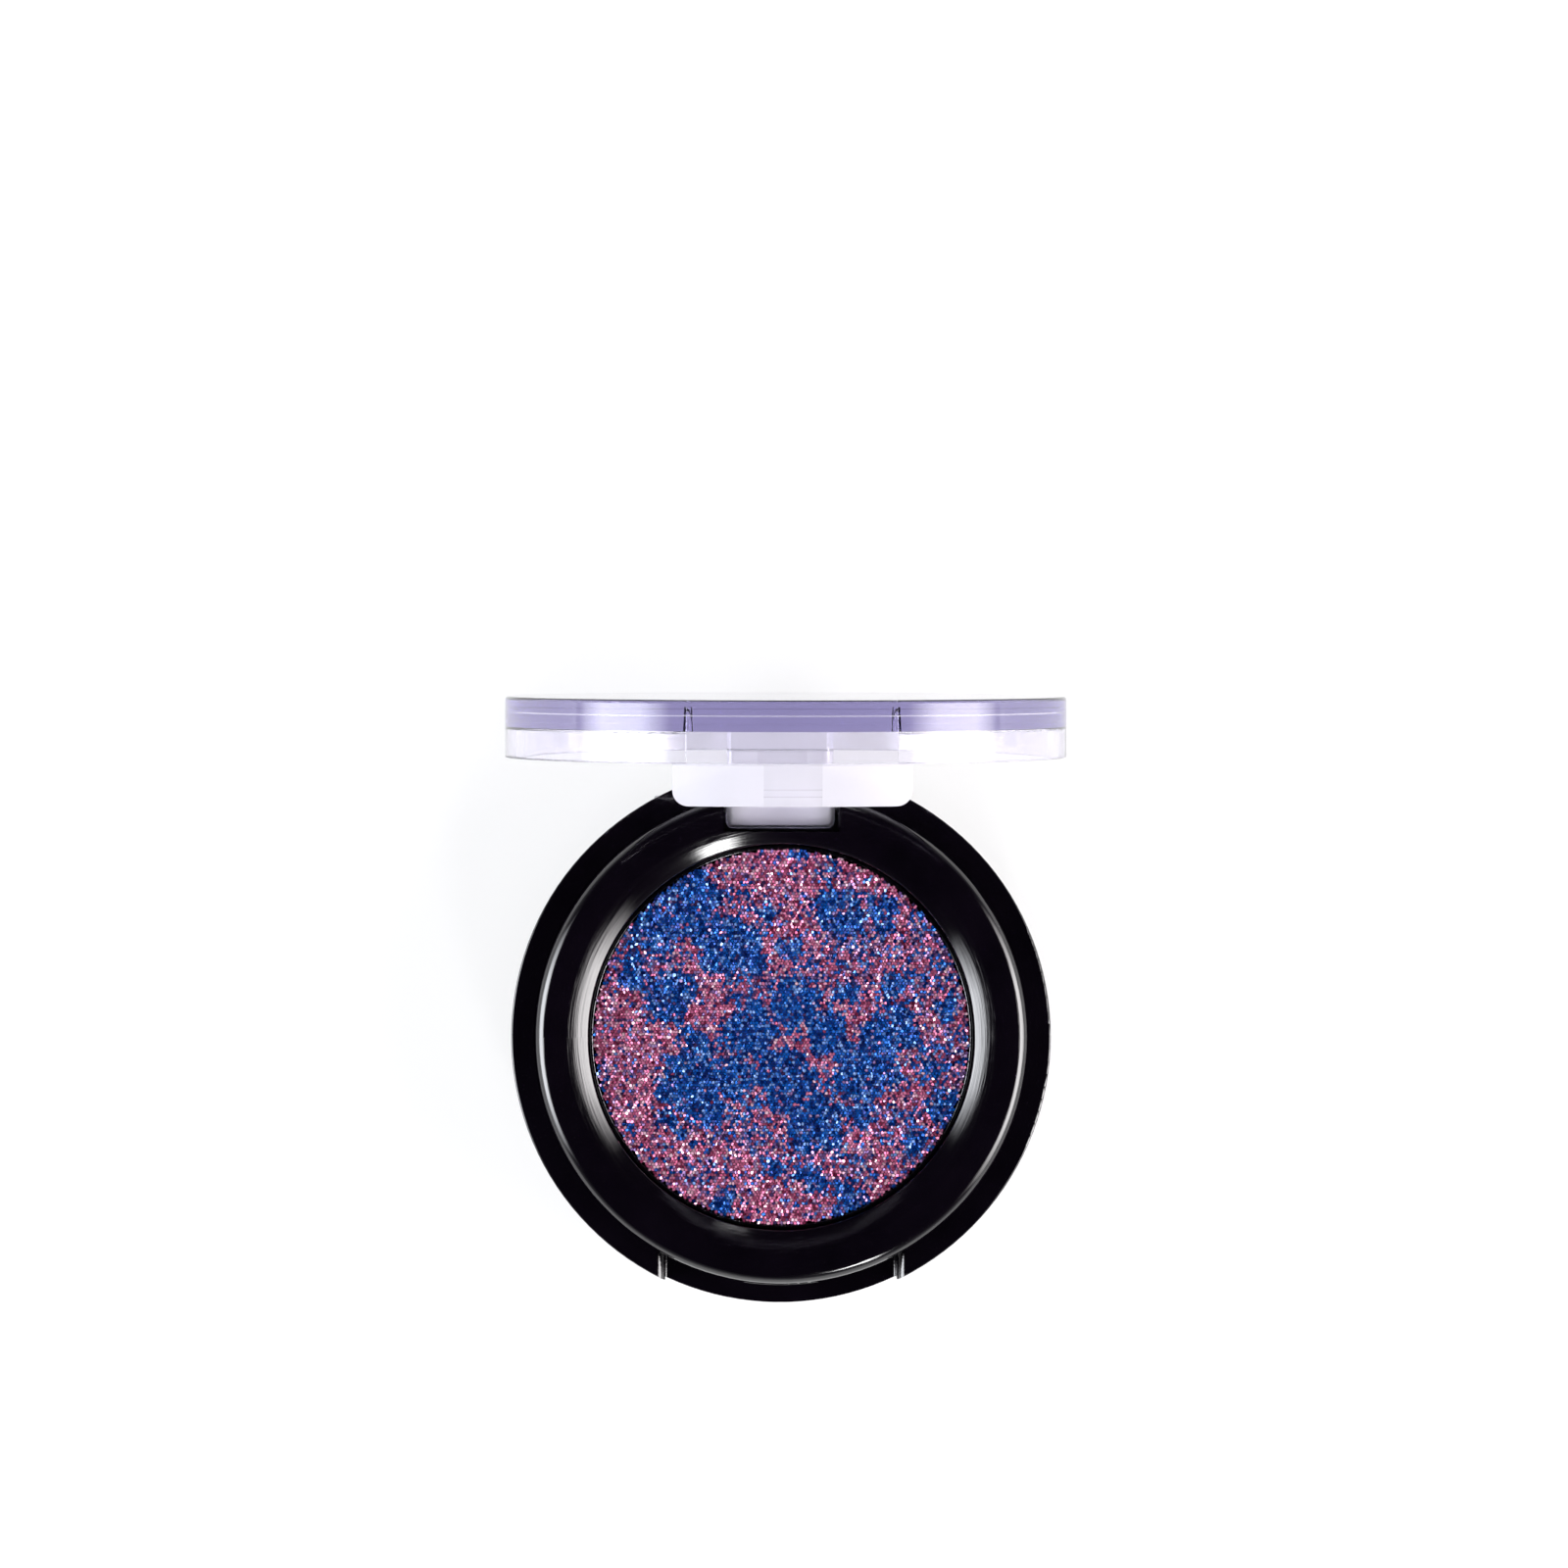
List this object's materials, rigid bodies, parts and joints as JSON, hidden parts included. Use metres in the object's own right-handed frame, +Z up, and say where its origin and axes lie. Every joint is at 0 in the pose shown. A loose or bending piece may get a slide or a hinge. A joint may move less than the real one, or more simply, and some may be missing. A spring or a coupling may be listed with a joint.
{
  "type": "eyeshadow compact",
  "caption": "Round single-pan eyeshadow compact: black base with an inner ring and a metal pan of glittering pressed powder, under a clear hinged lid with a front snap lug.",
  "frame": {"origin": "centre of the base's underside, on the table", "axes": "+Z up, the hinge at +Y and the latch lug at -Y, the hinge axis along X"},
  "size_m": [0.0374, 0.0427, 0.0393],
  "materials": {
    "black_plastic": "glossy black moulded plastic",
    "pan_metal": "drawn aluminium",
    "powder": "pressed mineral powder, rose pink with cobalt blue patches and glitter",
    "adhesive": "soft glue pad",
    "clear_plastic": "clear moulded plastic with a faint lavender tint",
    "pin_steel": "ground steel",
    "label_paper": "blank coated paper"
  },
  "bodies": {
    "base": {"base_shell": "black_plastic", "inner_tray": "black_plastic", "powder_pan": "pan_metal", "pressed_powder": "powder", "pan_adhesive": "adhesive", "hinge_pin_left": "pin_steel", "hinge_pin_right": "pin_steel", "base_label": "label_paper"},
    "lid": {"clear_lid": "clear_plastic"}
  },
  "joints": [
    {"name": "lid_hinge", "type": "hinge", "parent": "base", "child": "lid", "pos_m": [0, 0.0161, 0.00424], "axis": [-1, 0, 0], "range_deg": [-88.1, 11.9]}
  ]
}
